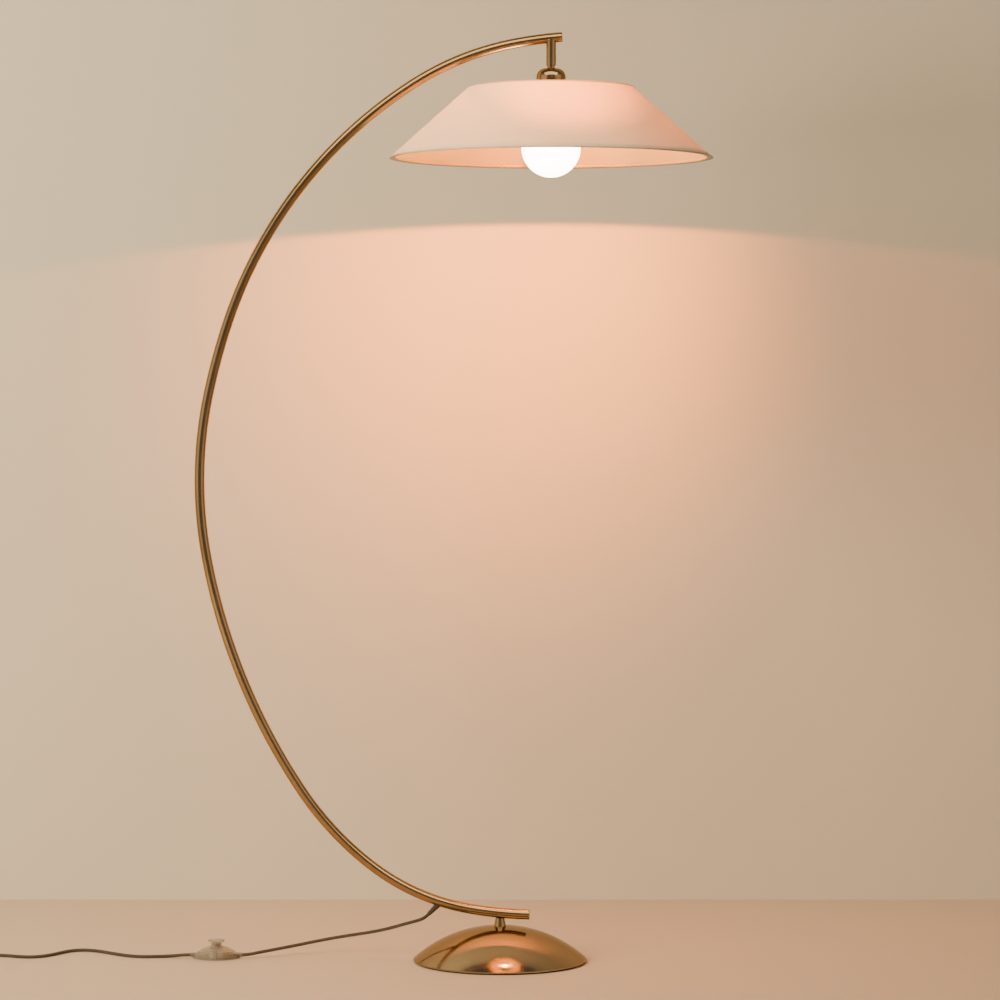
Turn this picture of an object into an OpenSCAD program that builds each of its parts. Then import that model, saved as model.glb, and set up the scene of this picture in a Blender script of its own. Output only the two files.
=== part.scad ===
// Arc floor lamp: a domed base, an arm bent from tube in three lengths, a fabric shade over a
// globe bulb, and a lead with a clear foot switch.
// Millimetres, +Z up. The origin is the centre of the base, on the floor. The arm lies in the
// XZ plane: its belly is on the -X side, and the shade hangs a little to the +X side of the base.

/* [Base] */
// Diameter of the domed base
base_d = 280; // [270:1:300]
// Height of the top of the dome above the floor
base_h = 57.5; // [54:0.5:60]
// Thickness of the spun cover
cover_t = 1.2; // [0.8:0.1:1.6]
// Thickness of the pad that the base stands on
pad_t = 2.5; // [2:0.5:3.5]

/* [Arm] */
// Outer diameter of the arm's tube
tube_d = 16; // [15.8:0.1:16.4]
// Wall thickness of the arm's tube
tube_wall = 1.2; // [1:0.1:1.3]
// Place of the arm's belly on the X axis
belly_x = -484; // [-490:1:-478]
// Height of the arm's belly
belly_z = 776; // [774:1:778]

/* [Lampholder] */
// Height of the top of the domed cup
cup_top = 1439; // [1437:0.5:1441]
// Diameter of the cup
cup_d = 47; // [46.5:0.5:50]
// Distance of the shade's axis from the base's axis
head_x = 82; // [78:1:86]

/* [Shade] */
// Diameter of the bottom edge
shade_bottom_d = 519; // [500:1:540]
// Diameter of the top edge
shade_top_d = 264; // [256:1:272]
// Height from edge to edge
shade_h = 113.5; // [105:0.5:120]
// How far the top edge stands below the top of the cup
shade_drop = 30; // [28:0.5:32]
// Thickness of the woven cover
fabric_t = 1.2; // [0.8:0.1:1.5]
// Thickness of the lining
liner_t = 0.6; // [0.4:0.1:0.8]

/* [Bulb] */
// Diameter of the globe
globe_d = 95; // [90:1:96]

/* [Foot switch and lead] */
// Diameter of the lead
cord_d = 5.4; // [5:0.1:5.5]
// Length of the switch's body, without its glands
switch_l = 76; // [72:1:80]
// Depth of the switch's body
switch_w = 46; // [44:1:50]
// Height of the switch's body
switch_h = 21.5; // [21:0.5:23]
// Travel of the button
button_travel = 4; // [2:0.5:4]

/* [Hidden] */

brass = "#c39a52";
brass_dark = "#a37a3c";
steel = "#a9abad";
iron = "#4a4a4c";
linen = "#e8d8c8";
opal = "#fffdf5";
flex_brown = "#6e5747";
clear_plastic = "#d9d3c9";
white_plastic = "#e9e7e1";
black_rubber = "#2b2826";
ceramic = "#e3ded2";

slack = 0.1;      // radial gap between parts that are screwed or pressed together
gap = 0.3;        // gap between parts that move past each other

// ---- The arm's centreline -------------------------------------------------------------
// Bends as [radius, degrees], from the belly down to the base and from the belly up to the
// head. A length of tube ends where its last bend does.
down_bends = [[680, 10.5], [1010, 11.5], [1010, 11.5], [520, 18.5], [360, 28.5], [680, 7.7]];
up_bends = [[680, 12], [1040, 6.5], [730, 5.5], [730, 33.5], [460, 21], [640, 7.2]];
down = 1;         // the bends' polar angle grows on the way down
up = -1;          // and falls on the way up
low_joint = 2;    // number of bends below the belly that the middle tube has
high_joint = 3;   // number of bends above the belly that the middle tube has

function polar(r, a) = [r * cos(a), r * sin(a)];
function bends(way) = way == down ? down_bends : up_bends;
function turned(way, n) = n == 0 ? 0 : turned(way, n - 1) + bends(way)[n - 1][1];
function angle_at(way, n) = 180 + way * turned(way, n);
function bend_start(way, n) = n == 0 ? [belly_x, belly_z]
    : bend_centre(way, n - 1) + polar(bends(way)[n - 1][0], angle_at(way, n));
function bend_centre(way, n) = bend_start(way, n) - polar(bends(way)[n][0], angle_at(way, n));
function on_bend(way, n, angle) = bend_centre(way, n) + polar(bends(way)[n][0], angle);

exit_bend = 4;        // the lead leaves on this bend of the lower tube
exit_angle = 252.4;   // at this polar angle
exit_way = 225;       // and in this direction in the XZ plane
relief_l = 20;        // length of the strain relief outside the tube
exit_point = on_bend(down, exit_bend, exit_angle);
head_bend = 5;        // the rod hangs from this bend of the upper tube
head_centre = bend_centre(up, head_bend);
head_angle = round(100 * acos((head_x - head_centre[0]) / up_bends[head_bend][0])) / 100;
head_point = on_bend(up, head_bend, head_angle);
bore_d = tube_d - 2 * tube_wall;
sleeve_d = bore_d - 2 * slack;
sleeve_wall = 1.5;
sleeve_half_l = 30;
screw_d = 3.9;
screw_angle_l = 12;   // distance of a grub screw from its joint, along the tube

// Moves by whole millimetres, then by thousandths, then by the rest, so that every decimal counts
module place(p) {
    whole = [round(p[0]), round(p[1])];
    fine = [round((p[0] - whole[0]) * 1000) / 1000, round((p[1] - whole[1]) * 1000) / 1000];
    rest_of = p - whole - fine;
    translate([whole[0], 0, whole[1]])
        translate([fine[0], 0, fine[1]])
            translate([rest_of[0], 0, rest_of[1]])
                children();
}

// A solid bar of diameter d, bent round centre c at radius r from polar angle a to b
module bent_bar(c, r, a, b, d) {
    place(c)
        rotate([90, 0, 0])
            rotate_extrude(angle = abs(b - a), start = min(a, b), $fn = 360)
                translate([r, 0])
                    circle(d = d, $fn = 48);
}

// The bends from number "first" to "last" on one side of the belly, as a solid bar
module bar_run(way, first, last, d) {
    for (n = [first : last])
        bent_bar(bend_centre(way, n), bends(way)[n][0], angle_at(way, n),
            angle_at(way, n + 1), d);
}

// Points its children's +Z along direction "angle" in the XZ plane
module aim(p, angle) {
    place(p)
        rotate([0, 90 - angle, 0])
            children();
}

module at_head(z) {
    translate([head_x, 0, z])
        children();
}

// Half of the section of a round can whose upper edge is rounded
module can_section(r, h, corner) {
    square([r, h - corner]);
    translate([0, h - corner])
        square([r - corner, corner]);
    translate([r - corner, h - corner])
        intersection() {
            circle(r = corner, $fn = 64);
            square(corner);
        }
}

module tube_section(r, wall, h) {
    difference() {
        cylinder(r = r, h = h, $fn = 96);
        translate([0, 0, -1])
            cylinder(r = r - wall, h = h + 2, $fn = 96);
    }
}

// ---- Base ----------------------------------------------------------------------------
lip_h = 2;            // straight rim under the dome
dome_low = pad_t + lip_h;
dome_r = (pow(base_d / 2, 2) + pow(base_h - dome_low, 2)) / (2 * (base_h - dome_low));
dome_z = base_h - dome_r;
stud_d = 10;
stud_hole_d = stud_d + 2 * slack;
weight_r = 125;
weight_top = 31;
weight_edge_top = 10;
recess_r = 20;
recess_h = 14;
spacer_r = 11;
washer_t = 2;
nut_h = 8;
nut_d = 18.5;         // across the corners
post_foot_d = 20;
post_top_d = 14;
post_bore_top = base_h + 10;

function dome_inside(r) = dome_z + sqrt(pow(dome_r - cover_t, 2) - r * r);

module base_pad() {
    color(black_rubber)
        cylinder(d = base_d - 8, h = pad_t, $fn = 180);
}

module base_cover() {
    lip_w = cover_t * dome_r / (base_d / 2);
    color(brass)
        rotate_extrude($fn = 180) {
            difference() {
                intersection() {
                    difference() {
                        translate([0, dome_z])
                            circle(r = dome_r, $fn = 360);
                        translate([0, dome_z])
                            circle(r = dome_r - cover_t, $fn = 360);
                    }
                    translate([0, dome_low])
                        square([base_d / 2, base_h]);
                }
                square([stud_hole_d / 2, base_h + 1]);
            }
            translate([base_d / 2 - lip_w, pad_t])
                square([lip_w, lip_h]);
        }
}

module base_weight() {
    bore = stud_hole_d / 2;
    color(iron)
        rotate_extrude($fn = 180)
            polygon([[recess_r, pad_t], [weight_r, pad_t], [weight_r, weight_edge_top],
                [60, weight_top], [bore, weight_top], [bore, pad_t + recess_h],
                [recess_r, pad_t + recess_h]]);
}

module base_spacer() {
    color(steel)
        translate([0, 0, weight_top])
            tube_section(spacer_r, spacer_r - stud_hole_d / 2,
                dome_inside(spacer_r) - weight_top);
}

module base_stud() {
    low = pad_t + recess_h - washer_t - nut_h - 2;
    color(steel)
        translate([0, 0, low])
            cylinder(d = stud_d, h = post_bore_top - 1 - low, $fn = 48);
}

module base_washer() {
    color(steel)
        translate([0, 0, pad_t + recess_h - washer_t])
            tube_section(15, 15 - stud_hole_d / 2, washer_t);
}

module base_nut() {
    color(steel)
        translate([0, 0, pad_t + recess_h - washer_t - nut_h])
            difference() {
                cylinder(d = nut_d, h = nut_h, $fn = 6);
                translate([0, 0, -1])
                    cylinder(d = stud_hole_d, h = nut_h + 2, $fn = 48);
            }
}

module base_post() {
    top = 80;
    color(brass)
        difference() {
            translate([0, 0, base_h - 1])
                cylinder(d1 = post_foot_d, d2 = post_top_d, h = 14, $fn = 96);
            translate([0, 0, dome_z])
                sphere(r = dome_r, $fn = 360);
            translate([0, 0, base_h - 2])
                cylinder(d = stud_hole_d, h = post_bore_top - base_h + 2, $fn = 48);
            bar_run(down, 5, 5, tube_d);
        }
}

// ---- Arm ------------------------------------------------------------------------------
// A hole for a grub screw in the back of the tube, "along" millimetres from the start of a bend
module screw_place(way, n, along) {
    r = bends(way)[n][0];
    angle = angle_at(way, n) + way * along / (r * PI / 180);
    place(on_bend(way, n, angle))
        rotate([-90, 0, 0])
            children();
}

module screw_hole(way, n) {
    screw_place(way, n, screw_angle_l)
        cylinder(d = screw_d + slack, h = tube_d, $fn = 32);
}

module lower_tube() {
    color(brass)
        difference() {
            bar_run(down, low_joint, 5, tube_d);
            bar_run(down, low_joint, 5, bore_d);
            screw_hole(down, low_joint);
            aim(exit_point, exit_way)
                cylinder(d = 8, h = tube_d, $fn = 48);
        }
}

module middle_tube() {
    color(brass)
        difference() {
            union() {
                bar_run(down, 0, low_joint - 1, tube_d);
                bar_run(up, 0, high_joint - 1, tube_d);
            }
            union() {
                bar_run(down, 0, low_joint - 1, bore_d);
                bar_run(up, 0, high_joint - 1, bore_d);
            }
        }
}

module upper_tube() {
    color(brass)
        difference() {
            bar_run(up, high_joint, 5, tube_d);
            bar_run(up, high_joint, 5, bore_d);
            screw_hole(up, high_joint);
            place(head_point)
                translate([0, 0, -tube_d])
                    cylinder(d = 9, h = tube_d, $fn = 48);
        }
}

module sleeve(way, n) {
    c = bend_centre(way, n);
    r = bends(way)[n][0];
    a = angle_at(way, n);
    half = sleeve_half_l / (r * PI / 180);
    color(steel)
        difference() {
            bent_bar(c, r, a - half, a + half, sleeve_d);
            bent_bar(c, r, a - half - 1, a + half + 1, sleeve_d - 2 * sleeve_wall);
            screw_hole(way, n);
        }
}

module lower_sleeve() {
    sleeve(down, low_joint);
}

module upper_sleeve() {
    sleeve(up, high_joint);
}

module grub_screw(way, n) {
    screw_l = 3;
    screw_place(way, n, screw_angle_l)
        translate([0, 0, tube_d / 2 - 0.1 - screw_l])
            difference() {
                cylinder(d = screw_d, h = screw_l, $fn = 32);
                translate([0, 0, screw_l - 1.6])
                    cylinder(d = 2.3, h = 2, $fn = 6);
            }
}

module joint_screws() {
    color(brass_dark) {
        grub_screw(down, low_joint);
        grub_screw(up, high_joint);
    }
}

cap_t = 3;

module end_cap(way) {
    aim(on_bend(way, 5, angle_at(way, 6)), angle_at(way, 6) + way * 90)
        union() {
            rotate_extrude($fn = 96)
                can_section(tube_d / 2, cap_t, 1.5);
            translate([0, 0, -6])
                cylinder(d = sleeve_d, h = 6, $fn = 96);
        }
}

module lower_end_cap() {
    color(brass)
        end_cap(down);
}

module upper_end_cap() {
    color(brass)
        end_cap(up);
}

rod_d = 15.6;
rod_low = cup_top + 4.5;
nipple_d = 10;
nipple_hole_d = nipple_d + 2 * slack;
nipple_low = cup_top - 8;
nipple_top = rod_low + 10;

module drop_rod() {
    color(brass)
        difference() {
            at_head(rod_low)
                cylinder(d = rod_d, h = head_point[1] - rod_low, $fn = 96);
            at_head(rod_low - 1)
                cylinder(d = nipple_hole_d, h = 60, $fn = 48);
            bar_run(up, 4, 5, tube_d);
        }
}

module strain_relief() {
    sheath_d = cord_d + 2 * slack;
    color(flex_brown)
        difference() {
            aim(exit_point, exit_way)
                translate([0, 0, 5])
                    cylinder(d1 = 10, d2 = 6.8, h = relief_l + 3, $fn = 48);
            bent_bar(bend_centre(down, exit_bend), down_bends[exit_bend][0], exit_angle - 6,
                exit_angle + 6, tube_d);
            aim(exit_point, exit_way)
                cylinder(d = sheath_d, h = relief_l + 10, $fn = 48);
        }
}

module inner_lead() {
    elbow_r = cord_d / 2 + 0.2;
    sheath_low = cup_top - 11;
    color(flex_brown)
        union() {
            bent_bar(bend_centre(down, exit_bend), down_bends[exit_bend][0],
                angle_at(down, exit_bend), exit_angle, cord_d);
            bar_run(down, 0, exit_bend - 1, cord_d);
            bar_run(up, 0, head_bend - 1, cord_d);
            bent_bar(head_centre, up_bends[head_bend][0], angle_at(up, head_bend), head_angle,
                cord_d);
            place(exit_point)
                sphere(r = elbow_r, $fn = 48);
            aim(exit_point, exit_way)
                cylinder(d = cord_d, h = relief_l + 8, $fn = 48);
            place(head_point)
                sphere(r = elbow_r, $fn = 48);
            at_head(sheath_low)
                cylinder(d = cord_d, h = head_point[1] - sheath_low, $fn = 48);
        }
}

// ---- Lampholder -----------------------------------------------------------------------
cup_r = cup_d / 2;
cup_t = 1;
cup_h = 45;
cup_low = cup_top - cup_h;
flange_h = 2;
flange_low = cup_low - flange_h;
skirt_r = 19.75;
skirt_in_r = 14.6;
skirt_low = flange_low - 16;
spigot_r = cup_r - cup_t - slack;
spigot_top = cup_low + 6;
block_r = spigot_r - 0.4;
block_top = spigot_top + 12;
block_h = block_top - spigot_top;
terminal_x = 9;
terminal_h = 8;
core_d = 2.2;
shell_in_r = 13.7;
shell_t = 0.5;

module neck_collar() {
    color(brass)
        at_head(cup_top)
            tube_section(6, 6 - nipple_hole_d / 2, rod_low - cup_top);
}

module neck_nipple() {
    color(steel)
        at_head(nipple_low)
            tube_section(nipple_d / 2, 1.8, nipple_top - nipple_low);
}

module holder_lock_nut() {
    nut_t = 3;
    color(steel)
        at_head(cup_top - cup_t - nut_t)
            difference() {
                cylinder(d = 16, h = nut_t, $fn = 6);
                translate([0, 0, -1])
                    cylinder(d = nipple_hole_d, h = nut_t + 2, $fn = 48);
            }
}

module holder_cup() {
    corner = 14;
    color(brass)
        at_head(cup_low)
            rotate_extrude($fn = 144)
                difference() {
                    can_section(cup_r, cup_h, corner);
                    can_section(cup_r - cup_t, cup_h - cup_t, corner - cup_t);
                    square([nipple_hole_d / 2, cup_h + 1]);
                }
}

module holder_body() {
    color(ceramic)
        at_head(spigot_top)
            difference() {
                cylinder(r = block_r, h = block_h, $fn = 96);
                for (side = [-1, 1])
                    translate([side * terminal_x, 0, -1])
                        cylinder(d = 3.2, h = block_h + 2, $fn = 32);
            }
}

module terminal_blocks() {
    color(brass_dark)
        for (side = [-1, 1])
            at_head(block_top)
                translate([side * terminal_x, 0, 0])
                    difference() {
                        translate([-3.5, -4.5, 0])
                            cube([7, 9, terminal_h]);
                        translate([0, 2, 3])
                            cylinder(d = 3.2, h = terminal_h, $fn = 32);
                        translate([0, -2.2, 3])
                            cylinder(d = core_d + slack, h = terminal_h, $fn = 32);
                    }
}

module terminal_screws() {
    color(steel)
        for (side = [-1, 1])
            at_head(block_top + 3.5)
                translate([side * terminal_x, 2, 0])
                    union() {
                        cylinder(d = 3, h = 6, $fn = 32);
                        translate([0, 0, terminal_h - 3.2])
                            cylinder(d = 4.6, h = 1.8, $fn = 32);
                    }
}

module bar_between(a, b, d) {
    v = b - a;
    l = norm(v);
    translate(a)
        rotate([0, acos(v[2] / l), atan2(v[1], v[0])])
            cylinder(d = d, h = l, $fn = 32);
}

module core_wires() {
    color(brass_dark)
        for (side = [-1, 1]) {
            high = [head_x + side * 1.3, 0, cup_top - 10];
            bend_at = [head_x + side * terminal_x, -2.2, block_top + terminal_h + 1.5];
            union() {
                bar_between(high, bend_at, core_d);
                translate(bend_at)
                    sphere(d = core_d + 0.2, $fn = 32);
                translate(bend_at - [0, 0, 5])
                    cylinder(d = core_d, h = 5, $fn = 32);
            }
        }
}

contact_t = 0.6;

module centre_contact() {
    color(brass_dark)
        at_head(spigot_top - contact_t)
            translate([-3, -4, 0])
                cube([16, 8, contact_t]);
}

module screw_shell() {
    shell_low = skirt_low + 2;
    shell_top = spigot_top - contact_t - 0.6;
    color(steel)
        at_head(shell_low)
            tube_section(shell_in_r + shell_t, shell_t, shell_top - shell_low);
}

module holder_skirt() {
    color(black_rubber)
        at_head(0)
            rotate_extrude($fn = 120)
                polygon([[skirt_in_r, skirt_low], [skirt_r, skirt_low], [skirt_r, flange_low],
                    [cup_r, flange_low], [cup_r, cup_low], [spigot_r, cup_low],
                    [spigot_r, spigot_top], [skirt_in_r, spigot_top]]);
}

hub_t = 1.8;
hub_top = flange_low - gap;
hub_r = 31;
ring_h = 8;
ring_top = hub_top - hub_t - gap;
ring_r = 27.5;

module shade_ring() {
    notches = 12;
    color(black_rubber)
        at_head(ring_top - ring_h)
            difference() {
                tube_section(ring_r, ring_r - skirt_r - gap, ring_h);
                for (i = [0 : notches - 1])
                    rotate([0, 0, i * 360 / notches])
                        translate([ring_r + 1, 0, -1])
                            cylinder(d = 4, h = ring_h + 2, $fn = 24);
            }
}

// ---- Shade ----------------------------------------------------------------------------
shade_top = cup_top - shade_drop;
shade_low = shade_top - shade_h;
shade_slope = (shade_bottom_d - shade_top_d) / 2 / shade_h;
slant = sqrt(1 + shade_slope * shade_slope);
wall_t = fabric_t + liner_t;
wire_d = 4;
wire_rise = 2.6;      // height of a wire's centre from the nearer edge
hem_t = 0.5;
hem_lap = 1.6;        // how far a hem reaches over the outside

// Radius of the shade at height z, "in" millimetres under its outer face
function shade_r(z, in = 0) = shade_top_d / 2 + (shade_top - z) * shade_slope - in * slant;

// Section of the shade's wall between two depths under the outer face, from z = low to high
module wall_section(from, to, low, high) {
    polygon([[shade_r(low, from), low], [shade_r(high, from), high],
        [shade_r(high, to), high], [shade_r(low, to), low]]);
}

module cone_wall(from, to) {
    at_head(0)
        rotate_extrude($fn = 240)
            wall_section(from, to, shade_low, shade_top);
}

module shade_fabric() {
    color(linen)
        cone_wall(0, fabric_t);
}

module shade_liner() {
    color(opal)
        cone_wall(fabric_t, wall_t);
}

function wire_r(z) = shade_r(z, wall_t) - wire_d / 2 * slant - 0.1;

module shade_wire(z) {
    color(steel)
        at_head(z)
            rotate_extrude($fn = 240)
                translate([wire_r(z), 0])
                    circle(d = wire_d, $fn = 32);
}

module shade_top_wire() {
    shade_wire(shade_top - wire_rise);
}

module shade_bottom_wire() {
    shade_wire(shade_low + wire_rise);
}

// Tape folded over an edge, from the outside round to the far side of the wire. "out" is +1
// for the top edge and -1 for the bottom edge.
module hem(edge, out) {
    lap_z = edge - out * hem_lap;
    edge_z = edge + out * hem_t;
    leg_z = edge - out * (2 * wire_rise - 0.2);
    deep = wall_t + wire_d + 0.3;
    color(linen)
        at_head(0)
            rotate_extrude($fn = 240)
                polygon([[shade_r(lap_z, -hem_t), lap_z], [shade_r(edge_z, -hem_t), edge_z],
                    [shade_r(edge_z, deep + hem_t), edge_z],
                    [shade_r(leg_z, deep + hem_t), leg_z], [shade_r(leg_z, deep), leg_z],
                    [shade_r(edge, deep), edge], [shade_r(edge), edge],
                    [shade_r(lap_z), lap_z]]);
}

module shade_top_hem() {
    hem(shade_top, 1);
}

module shade_bottom_hem() {
    hem(shade_low, -1);
}

module shade_spider() {
    arm_d = 3.5;
    arms = 3;
    mid = hub_top - hub_t / 2;
    top = shade_top - wire_rise;
    reach = wire_r(top) - wire_d / 2 + 0.2;
    color(steel)
        union() {
            at_head(hub_top - hub_t)
                tube_section(hub_r, hub_r - skirt_r - gap, hub_t);
            for (i = [0 : arms - 1])
                at_head(0)
                    rotate([0, 0, 90 + i * 360 / arms])
                        bar_between([ring_r + 1, 0, mid + 0.5], [reach, 0, top], arm_d);
        }
}

// ---- Bulb -----------------------------------------------------------------------------
globe_r = globe_d / 2;
globe_z = cup_top - 127;
neck_r = 17;
fillet_r = 25;
neck_top = globe_z + sqrt(pow(globe_r + fillet_r, 2) - pow(neck_r + fillet_r, 2));
glass_t = 1;
cap_r = 13.25;
cap_foot_h = 4;
cap_top = spigot_top - 6.5;
tip_top = spigot_top - contact_t - gap;

// Half section of the globe and its neck, "in" millimetres under the outer face
module globe_section(in) {
    difference() {
        union() {
            intersection() {
                translate([0, globe_z])
                    circle(r = globe_r - in, $fn = 180);
                translate([0, globe_z - globe_r])
                    square(2 * globe_r);
            }
            polygon([[0, globe_z], [neck_r + fillet_r, neck_top], [0, neck_top]]);
        }
        translate([neck_r + fillet_r, neck_top])
            circle(r = fillet_r - 0.1 + in, $fn = 120);
    }
}

module bulb_globe() {
    color(opal)
        at_head(0)
            rotate_extrude($fn = 180)
                difference() {
                    globe_section(0);
                    globe_section(glass_t);
                }
}

module bulb_cap() {
    wall = 0.5;
    foot_r = neck_r;
    color(steel)
        at_head(0)
            rotate_extrude($fn = 96)
                polygon([[foot_r, neck_top], [cap_r, neck_top + cap_foot_h], [cap_r, cap_top],
                    [cap_r - wall, cap_top], [cap_r - wall, neck_top + cap_foot_h],
                    [foot_r - wall, neck_top]]);
}

module bulb_insulator() {
    color(black_rubber)
        at_head(cap_top)
            cylinder(r1 = cap_r - 1, r2 = 6, h = tip_top - 1.5 - cap_top, $fn = 96);
}

module bulb_contact() {
    color(steel)
        at_head(tip_top - 1.5)
            cylinder(r1 = 5.5, r2 = 4.5, h = 1.5, $fn = 64);
}

module bulb_light_engine() {
    stem_r = 9;
    chips = 6;
    color(white_plastic)
        at_head(globe_z + 8)
            union() {
                cylinder(r1 = 14, r2 = 11, h = 4, $fn = 64);
                translate([0, 0, 3])
                    cylinder(r = stem_r, h = cap_top - globe_z - 14, $fn = 64);
                for (i = [0 : chips - 1])
                    rotate([0, 0, i * 360 / chips])
                        translate([8, -1.5, -0.8])
                            cube([3, 3, 1.2]);
            }
}

// ---- Foot switch ----------------------------------------------------------------------
switch_x = -461;
switch_y = 28;
lead_z = 6;           // height of the lead where it enters the switch
case_t = 2;
seam_z = 7;
dome_top_r = 51;
outline_r = (pow(switch_l / 2, 2) + pow(switch_w / 2, 2)) / switch_w;
stem_d = 17;
button_d = 27;
button_top = 31;
button_cap_t = 3;
stem_low = 16.8;
mechanism_top = 10;
gland_in = 28;
gland_out = switch_l / 2 + 4;
screw_y = 15.5;

module at_switch() {
    translate([switch_x, switch_y, 0])
        children();
}

// The case's lens-shaped outline and domed top, "in" millimetres under its outer face
module lens(in, low, high) {
    off_axis = outline_r - switch_w / 2;
    intersection() {
        translate([0, -off_axis, low])
            cylinder(r = outline_r - in, h = high - low, $fn = 120);
        translate([0, off_axis, low])
            cylinder(r = outline_r - in, h = high - low, $fn = 120);
        translate([0, 0, switch_h - dome_top_r])
            sphere(r = dome_top_r - in, $fn = 180);
    }
}

module gland_holes() {
    for (side = [-1, 1])
        translate([side * gland_in - (side < 0 ? 20 : 0), 0, lead_z])
            rotate([0, 90, 0])
                cylinder(d = 8 + slack, h = 20, $fn = 48);
}

module screw_bosses(low, high) {
    for (side = [-1, 1])
        translate([0, side * screw_y, low])
            cylinder(d = 7, h = high - low, $fn = 32);
}

module screw_holes(low, high, d) {
    for (side = [-1, 1])
        translate([0, side * screw_y, low])
            cylinder(d = d, h = high - low, $fn = 32);
}

module switch_base() {
    color(clear_plastic)
        at_switch()
            difference() {
                union() {
                    difference() {
                        lens(0, 0, seam_z);
                        lens(case_t, case_t, seam_z + 1);
                    }
                    screw_bosses(1, seam_z);
                }
                screw_holes(-1, seam_z + 1, 3.2);
                screw_holes(-1, 2.6, 6);
                gland_holes();
            }
}

module switch_cover() {
    boss_top = switch_h - 5.5;
    color(clear_plastic)
        at_switch()
            difference() {
                union() {
                    difference() {
                        lens(0, seam_z, switch_h + 1);
                        lens(case_t, seam_z - 1, switch_h + 1);
                    }
                    screw_bosses(seam_z, boss_top);
                }
                screw_holes(seam_z - 1, boss_top - 2, 2.9);
                gland_holes();
                translate([0, 0, seam_z])
                    cylinder(d = stem_d + 2 * gap, h = 30, $fn = 96);
            }
}

module switch_button() {
    cap_low = button_top - button_cap_t;
    color(clear_plastic)
        at_switch()
            union() {
                translate([0, 0, stem_low])
                    tube_section(stem_d / 2, 1.6, cap_low - stem_low + 0.5);
                translate([0, 0, stem_low])
                    tube_section(stem_d / 2 + 1.2, 2.5, 1.4);
                translate([0, 0, cap_low])
                    rotate_extrude($fn = 120)
                        can_section(button_d / 2, button_cap_t, 1.2);
                translate([0, 0, mechanism_top + button_travel + 0.4])
                    cylinder(d = 4, h = cap_low - mechanism_top - button_travel, $fn = 48);
            }
}

spring_low = mechanism_top;
spring_high = button_top - button_cap_t;
spring_turns = 6;
spring_steps = 14;    // rings in each turn
spring_sides = 6;
spring_r = 5;
wire_r0 = 0.45;

function spring_point(i) = let (
        t = i / (spring_turns * spring_steps),
        a = 360 * i / spring_steps,
        rise = spring_high - spring_low - 2 * wire_r0)
    [spring_r * cos(a), spring_r * sin(a), spring_low + wire_r0 + t * rise];

module switch_spring() {
    color(steel)
        at_switch()
            swept_tube([for (i = [0 : spring_turns * spring_steps]) spring_point(i)],
                wire_r0, spring_sides);
}

module switch_mechanism() {
    color(white_plastic)
        at_switch()
            union() {
                translate([-11, -7.5, case_t])
                    cube([22, 15, mechanism_top - case_t - 0.8]);
                translate([-7.5, -7.5, case_t])
                    cube([15, 15, mechanism_top - case_t]);
            }
}

module switch_terminals() {
    color(brass_dark)
        at_switch()
            for (side = [-1, 1])
                for (row = [-1, 1])
                    translate([side * 16.5 - 4, row * 3.4 - 2.4, case_t])
                        difference() {
                            cube([8, 4.8, 5.5]);
                            translate([4, 2.4, 1])
                                cylinder(d = 2.6, h = 6, $fn = 24);
                        }
}

module switch_wires() {
    color(brass_dark)
        at_switch()
            for (side = [-1, 1])
                for (row = [-1, 1])
                    bar_between([side * (gland_in - 0.2), row * 1.3, lead_z],
                        [side * 20.6, row * 3.4, lead_z - 0.8], 1.8);
}

module switch_glands() {
    color(clear_plastic)
        at_switch()
            for (side = [0, 180])
                rotate([0, 0, side])
                    translate([gland_in, 0, lead_z])
                        rotate([0, 90, 0])
                            difference() {
                                cylinder(d1 = 8, d2 = 7, h = gland_out - gland_in, $fn = 48);
                                translate([0, 0, -1])
                                    cylinder(d = cord_d + 2 * slack, h = 30, $fn = 48);
                            }
}

module switch_screws() {
    color(steel)
        at_switch()
            for (side = [-1, 1])
                translate([0, side * screw_y, 0.8])
                    difference() {
                        union() {
                            cylinder(d = 5.4, h = 1.7, $fn = 32);
                            cylinder(d = 2.8, h = 11, $fn = 32);
                        }
                        translate([-0.4, -3, -1])
                            cube([0.8, 6, 1.8]);
                    }
}

// ---- Lead on the floor ----------------------------------------------------------------
rest = cord_d / 2;    // height of the lead's centre where it lies on the floor
coil_x = -876.5;
coil_y = 87.5;
coil_r = 32.4;        // to the middle of the turns
coil_w = 4 * cord_d;  // four turns side by side
coil_h = 2 * cord_d;  // and two on top of each other
tie_t = 1;
tie_angle = -120;     // where the strap holds the turns
plug_x = -916;
plug_y = 178;         // the plug's face, where its pins stand out
plug_h = 13.7;
plug_l = 34;
grip_l = 22;

// From the strain relief to the switch: straight out, then a little back in a shallow sag
switch_route = [[-115.4, 0, 76.7], [-119.3, 0.2, 73], [-124.4, 1.6, 69.4], [-131.6, 6, 65.9],
    [-141.4, 13, 62], [-155, 23.2, 56.9], [-171, 35, 50.6], [-189, 46.8, 44.4],
    [-209, 57.5, 38.8], [-230, 66, 34.2], [-252, 71.5, 30], [-275, 73.5, 25.9],
    [-299, 71.2, 21.7], [-323, 64.5, 17.8], [-347, 55, 14.4], [-370, 44.7, 11.5],
    [-391, 35.4, 8.9], [-406, 29.9, 6.9], [-419, 28, 6], [-433, 28, 6]];

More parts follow.
